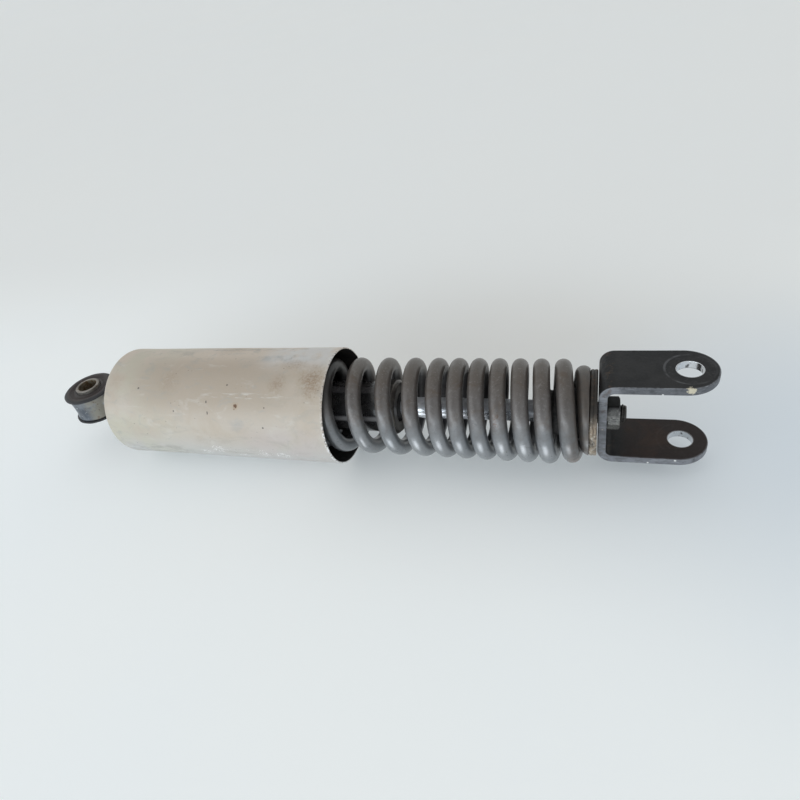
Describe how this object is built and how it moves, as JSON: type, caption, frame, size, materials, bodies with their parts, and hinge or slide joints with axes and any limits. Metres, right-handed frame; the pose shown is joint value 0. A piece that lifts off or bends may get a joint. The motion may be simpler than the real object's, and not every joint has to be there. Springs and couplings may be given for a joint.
{
  "type": "rear shock absorber",
  "caption": "Scooter rear shock absorber: twin-tube damper with a progressive coil spring, a half cover over the eye end, a rubber-bushed eye and a sheet-steel clevis.",
  "frame": {"origin": "centre of the upper eye's bore, on the damper axis", "axes": "+X along the damper axis from the eye towards the clevis, +Z along both mounting bolts, so that the lower clevis arm lies flat towards -Z; the clevis is set 2.8 mm towards +Y"},
  "size_m": [0.3378, 0.0578, 0.058],
  "materials": {
    "eye_steel": "worn satin",
    "black_rubber": "matt",
    "sleeve_steel": "dull zinc",
    "cover_paint": "aged silver-white paint",
    "seat_steel": "satin",
    "nylon": "matt",
    "tube_black": "satin black",
    "machined_steel": "turned",
    "sintered": "oiled",
    "bronze": "matt",
    "spring_paint": "satin grey paint",
    "dirty_steel": "dull with dried dirt",
    "chrome_rod": "hard chrome",
    "clevis_black": "satin black paint",
    "nut_zinc": "grimy zinc"
  },
  "bodies": {
    "damper_body": {"upper_eye": "eye_steel", "eye_rubber_bush": "black_rubber", "spring_cover": "cover_paint", "upper_spring_seat": "seat_steel", "spring_isolator": "nylon", "tube_end_plug": "seat_steel", "damper_tube": "tube_black", "pressure_tube": "machined_steel", "foot_valve": "sintered", "foot_valve_bolt": "machined_steel", "rod_guide": "sintered", "guide_bush": "bronze", "guide_o_ring": "black_rubber", "oil_seal": "black_rubber", "gland_cap": "tube_black", "dust_wiper": "black_rubber", "coil_spring": "spring_paint"},
    "eye_sleeve": {"eye_inner_sleeve": "sleeve_steel"},
    "lower_seat": {"lower_spring_seat": "dirty_steel", "bump_stop_cup": "dirty_steel", "bump_stop": "black_rubber"},
    "rod_assembly": {"piston_rod": "chrome_rod", "piston": "sintered", "piston_ring": "bronze", "compression_shims": "machined_steel", "rebound_shims": "machined_steel", "piston_nut": "machined_steel", "rebound_stop_collar": "machined_steel", "rebound_stop": "black_rubber", "clevis": "clevis_black", "clevis_nut": "nut_zinc"}
  },
  "joints": [
    {"name": "damper_compression", "type": "slide", "parent": "damper_body", "child": "lower_seat", "axis": [-1, 0, 0], "range_m": [0, 0.065], "stiffness_N_per_m": 25000, "springref_m": -0.006, "deforming": ["coil_spring"]},
    {"name": "rod_swivel", "type": "hinge", "parent": "lower_seat", "child": "rod_assembly", "pos_m": [0.278, 0, 0], "axis": [1, 0, 0], "continuous": true},
    {"name": "eye_bush_twist", "type": "hinge", "parent": "damper_body", "child": "eye_sleeve", "pos_m": [0, 0, 0], "axis": [0, 0, 1], "range_deg": [-15, 15], "stiffness_Nm_per_rad": 18}
  ]
}
